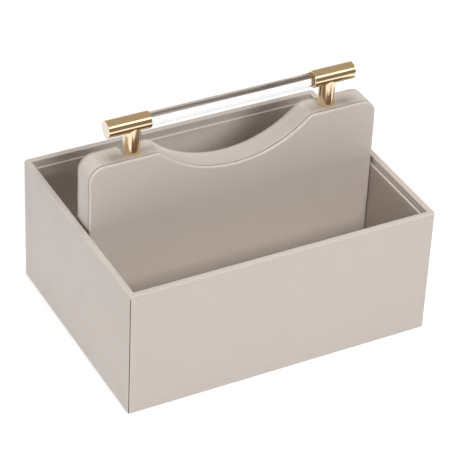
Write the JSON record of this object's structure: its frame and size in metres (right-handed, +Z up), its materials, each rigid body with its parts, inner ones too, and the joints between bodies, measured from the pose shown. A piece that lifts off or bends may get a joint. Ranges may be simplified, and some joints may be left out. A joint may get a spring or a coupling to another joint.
{
  "type": "cosmetic organizer caddy",
  "caption": "Open wrapped tray with a scooped centre divider that carries a bar handle of gold sleeves and a clear rod, for keeping and carrying cosmetics.",
  "frame": {"origin": "on the surface it stands on, under the middle of the tray", "axes": "+X along the tray's length, to the right seen from the front; the front faces -Y; +Z up"},
  "size_m": [0.245, 0.185, 0.187],
  "materials": {
    "taupe_leather": "warm grey-beige faux leather, fine grain, satin",
    "fibreboard": "raw fibreboard",
    "grey_card": "dense grey board, matt",
    "gold_metal": "polished gold plating",
    "clear_acrylic": "clear polished acrylic",
    "zinc_steel": "bright zinc plating",
    "base_felt": "short felt, matt"
  },
  "bodies": {
    "root": {"back_lining_cover": "taupe_leather", "divider_edge_band": "taupe_leather", "divider_front_cover": "taupe_leather", "divider_rear_cover": "taupe_leather", "front_floor_cover": "taupe_leather", "front_lining_cover": "taupe_leather", "left_lining_cover": "taupe_leather", "outer_wrap": "taupe_leather", "rear_floor_cover": "taupe_leather", "right_lining_cover": "taupe_leather", "back_board": "fibreboard", "base_board": "fibreboard", "divider_core": "fibreboard", "front_board": "fibreboard", "left_board": "fibreboard", "right_board": "fibreboard", "back_lining_card": "grey_card", "base_filler": "grey_card", "divider_front_card": "grey_card", "divider_rear_card": "grey_card", "front_floor_card": "grey_card", "front_lining_card": "grey_card", "left_lining_card": "grey_card", "rear_floor_card": "grey_card", "right_lining_card": "grey_card", "left_end_cap": "gold_metal", "left_post": "gold_metal", "left_sleeve": "gold_metal", "right_end_cap": "gold_metal", "right_post": "gold_metal", "right_sleeve": "gold_metal", "clear_rod": "clear_acrylic", "handle_screws": "zinc_steel", "base_cover": "base_felt"}
  },
  "joints": []
}
